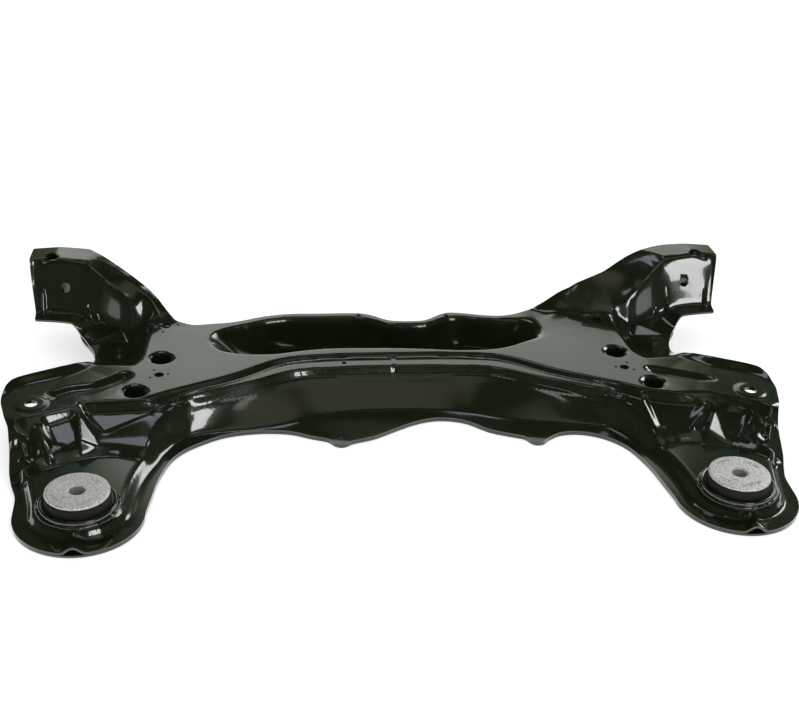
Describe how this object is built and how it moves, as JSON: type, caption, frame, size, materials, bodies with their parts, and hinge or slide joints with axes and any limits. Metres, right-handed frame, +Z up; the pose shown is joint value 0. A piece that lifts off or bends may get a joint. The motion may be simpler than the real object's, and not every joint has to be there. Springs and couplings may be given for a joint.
{
  "type": "front subframe",
  "caption": "Pressed steel front subframe: flat base flange, raised horns and ears for the body bolts, and a bonded rubber bush in each rear lobe.",
  "frame": {"origin": "under the middle of the outline, on the plane that the base rests on", "axes": "+Y towards the front of the car, +X to its right seen from behind, +Z up"},
  "size_m": [0.896, 0.4977, 0.1153],
  "materials": {
    "black_paint": "glossy black dip paint over pressed steel",
    "cast_aluminium": "as cast, fine grain",
    "rubber": "moulded, matt",
    "plated_steel": "dark zinc plate"
  },
  "bodies": {
    "root": {"upper_shell": "black_paint", "lower_shell": "black_paint", "horn_plate_left": "black_paint", "horn_plate_right": "black_paint", "brace_left": "black_paint", "brace_right": "black_paint", "bush_core_left": "cast_aluminium", "bush_core_right": "cast_aluminium", "bush_rubber_left": "rubber", "bush_rubber_right": "rubber", "bush_sleeve_left": "black_paint", "bush_sleeve_right": "black_paint", "bush_collar_left": "black_paint", "bush_collar_right": "black_paint", "spacer_front_left": "black_paint", "spacer_front_right": "black_paint", "spacer_rear_left": "black_paint", "spacer_rear_right": "black_paint", "rack_nut_front_left": "plated_steel", "rack_nut_front_right": "plated_steel", "rack_nut_rear_left": "plated_steel", "rack_nut_rear_right": "plated_steel", "ear_ring_left": "black_paint", "ear_ring_right": "black_paint", "horn_sleeve_left": "black_paint", "horn_sleeve_right": "black_paint"}
  },
  "joints": []
}
